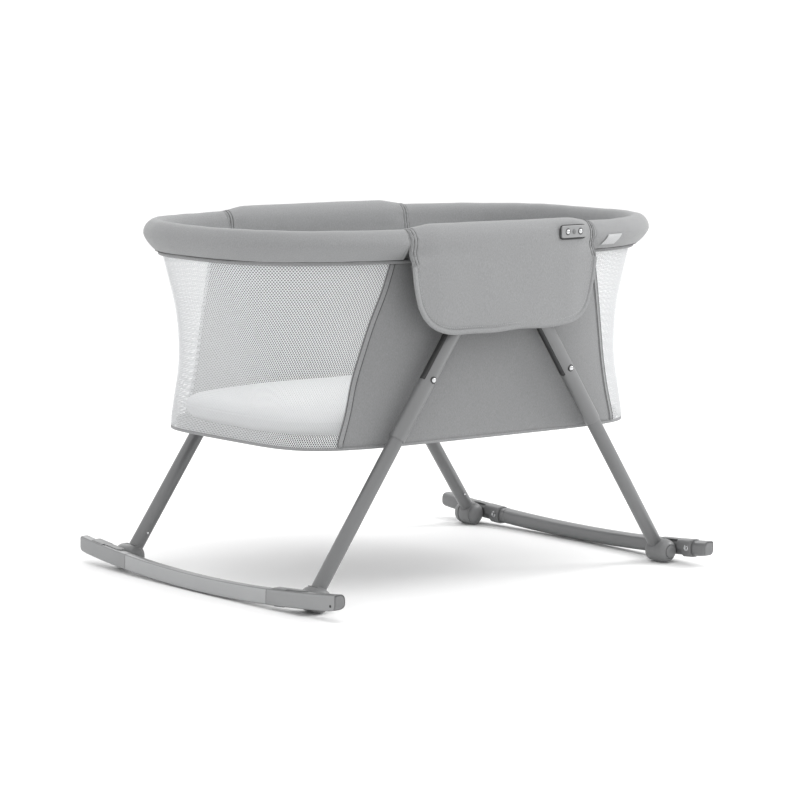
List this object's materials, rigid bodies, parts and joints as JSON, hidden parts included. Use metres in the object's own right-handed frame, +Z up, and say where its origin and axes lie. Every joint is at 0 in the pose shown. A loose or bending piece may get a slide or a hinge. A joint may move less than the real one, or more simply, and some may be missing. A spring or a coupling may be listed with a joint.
{
  "type": "bassinet on stand",
  "caption": "Oval fabric bassinet with mesh ends and a flat mattress, hung between crossed folding tube legs that stand on ball feet with curved rocker rails.",
  "frame": {"origin": "centre of the bounding box, on the floor", "axes": "+X along the crib's length, +Y across it towards the far side, +Z up"},
  "size_m": [0.914, 0.665, 0.596],
  "materials": {
    "fabric_grey": "melange weave",
    "mesh_white": "open knit",
    "mattress_white": "quilted",
    "binding_grey": "tape",
    "tube_grey": "satin powder coat",
    "lower_tube_grey": "satin powder coat",
    "rail_silver": "satin",
    "sleeve_grey": "satin",
    "plastic_grey": "fine texture",
    "plastic_black": "fine texture",
    "steel": "polished",
    "board_grey": "covered board"
  },
  "bodies": {
    "crib": {"rim_tube": "tube_grey", "rim_cover_left": "fabric_grey", "rim_cover_right": "fabric_grey", "near_flap": "fabric_grey", "far_flap": "fabric_grey", "near_lock_plate": "plastic_grey", "far_lock_plate": "plastic_grey", "near_side_panel": "fabric_grey", "far_side_panel": "fabric_grey", "mesh_wall_left": "mesh_white", "mesh_wall_right": "mesh_white", "near_hub_outer_plate": "plastic_black", "near_hub_inner_plate": "plastic_black", "far_hub_outer_plate": "plastic_black", "far_hub_inner_plate": "plastic_black", "near_left_hub_pin": "steel", "near_right_hub_pin": "steel", "far_left_hub_pin": "steel", "far_right_hub_pin": "steel"},
    "base": {"base_binding": "binding_grey", "base_board": "board_grey", "mattress": "mattress_white"},
    "left_upper_legs": {"near_left_upper_tube": "tube_grey", "far_left_upper_tube": "tube_grey"},
    "left_lower_legs": {"near_left_lower_tube": "lower_tube_grey", "far_left_lower_tube": "lower_tube_grey"},
    "left_rocker": {"left_rail": "rail_silver", "near_left_rail_sleeve": "sleeve_grey", "near_left_ball_housing": "plastic_grey", "near_left_ball_pin": "steel", "near_left_rail_bracket": "plastic_grey", "far_left_rail_sleeve": "sleeve_grey", "far_left_ball_housing": "plastic_grey", "far_left_ball_pin": "steel", "far_left_rail_bracket": "plastic_grey"},
    "near_left_leg_button": {"near_left_leg_button": "steel"},
    "near_left_ball_cap": {"near_left_ball_cap": "plastic_grey"},
    "far_left_leg_button": {"far_left_leg_button": "steel"},
    "far_left_ball_cap": {"far_left_ball_cap": "plastic_grey"},
    "right_upper_legs": {"near_right_upper_tube": "tube_grey", "far_right_upper_tube": "tube_grey"},
    "right_lower_legs": {"near_right_lower_tube": "lower_tube_grey", "far_right_lower_tube": "lower_tube_grey"},
    "right_rocker": {"right_rail": "rail_silver", "near_right_rail_sleeve": "sleeve_grey", "near_right_ball_housing": "plastic_grey", "near_right_ball_pin": "steel", "near_right_rail_bracket": "plastic_grey", "far_right_rail_sleeve": "sleeve_grey", "far_right_ball_housing": "plastic_grey", "far_right_ball_pin": "steel", "far_right_rail_bracket": "plastic_grey"},
    "near_right_leg_button": {"near_right_leg_button": "steel"},
    "near_right_ball_cap": {"near_right_ball_cap": "plastic_grey"},
    "far_right_leg_button": {"far_right_leg_button": "steel"},
    "far_right_ball_cap": {"far_right_ball_cap": "plastic_grey"},
    "near_lock_button": {"near_lock_button": "plastic_grey"},
    "far_lock_button": {"far_lock_button": "plastic_grey"}
  },
  "joints": [
    {"name": "base_lift", "type": "slide", "parent": "crib", "child": "base", "axis": [0, 0, 1], "range_m": [0, 0.18], "deforming": ["near_side_panel", "far_side_panel", "mesh_wall_left", "mesh_wall_right"]},
    {"name": "left_leg_fold", "type": "hinge", "parent": "crib", "child": "left_upper_legs", "pos_m": [-0.01959, 0, 0.53461], "axis": [0, 1, 0], "range_deg": [0, 49]},
    {"name": "left_leg_pull", "type": "slide", "parent": "left_upper_legs", "child": "left_lower_legs", "axis": [-0.5762, 0, -0.8173], "range_m": [0, 0.1]},
    {"name": "left_rocker_turn", "type": "hinge", "parent": "left_lower_legs", "child": "left_rocker", "pos_m": [-0.38199, 0, 0.0205], "axis": [0, -1, 0], "range_deg": [0, 35]},
    {"name": "near_left_leg_button_press", "type": "slide", "parent": "left_upper_legs", "child": "near_left_leg_button", "axis": [0, 1, 0], "range_m": [0, 0.0025], "stiffness_N_per_m": 400},
    {"name": "near_left_ball_cap_press", "type": "slide", "parent": "left_rocker", "child": "near_left_ball_cap", "axis": [0, 1, 0], "range_m": [0, 0.003], "stiffness_N_per_m": 400},
    {"name": "far_left_leg_button_press", "type": "slide", "parent": "left_upper_legs", "child": "far_left_leg_button", "axis": [0, -1, 0], "range_m": [0, 0.0025], "stiffness_N_per_m": 400},
    {"name": "far_left_ball_cap_press", "type": "slide", "parent": "left_rocker", "child": "far_left_ball_cap", "axis": [0, -1, 0], "range_m": [0, 0.003], "stiffness_N_per_m": 400},
    {"name": "right_leg_fold", "type": "hinge", "parent": "crib", "child": "right_upper_legs", "pos_m": [0.01959, 0, 0.53461], "axis": [0, -1, 0], "range_deg": [0, 49]},
    {"name": "right_leg_pull", "type": "slide", "parent": "right_upper_legs", "child": "right_lower_legs", "axis": [0.5762, 0, -0.8173], "range_m": [0, 0.1]},
    {"name": "right_rocker_turn", "type": "hinge", "parent": "right_lower_legs", "child": "right_rocker", "pos_m": [0.38199, 0, 0.0205], "axis": [0, 1, 0], "range_deg": [0, 35]},
    {"name": "near_right_leg_button_press", "type": "slide", "parent": "right_upper_legs", "child": "near_right_leg_button", "axis": [0, 1, 0], "range_m": [0, 0.0025], "stiffness_N_per_m": 400},
    {"name": "near_right_ball_cap_press", "type": "slide", "parent": "right_rocker", "child": "near_right_ball_cap", "axis": [0, 1, 0], "range_m": [0, 0.003], "stiffness_N_per_m": 400},
    {"name": "far_right_leg_button_press", "type": "slide", "parent": "right_upper_legs", "child": "far_right_leg_button", "axis": [0, -1, 0], "range_m": [0, 0.0025], "stiffness_N_per_m": 400},
    {"name": "far_right_ball_cap_press", "type": "slide", "parent": "right_rocker", "child": "far_right_ball_cap", "axis": [0, -1, 0], "range_m": [0, 0.003], "stiffness_N_per_m": 400},
    {"name": "near_lock_button_press", "type": "slide", "parent": "crib", "child": "near_lock_button", "axis": [-0.06, 0.9982, 0], "range_m": [0, 0.0025], "stiffness_N_per_m": 400},
    {"name": "far_lock_button_press", "type": "slide", "parent": "crib", "child": "far_lock_button", "axis": [0.06, -0.9982, 0], "range_m": [0, 0.0025], "stiffness_N_per_m": 400}
  ]
}
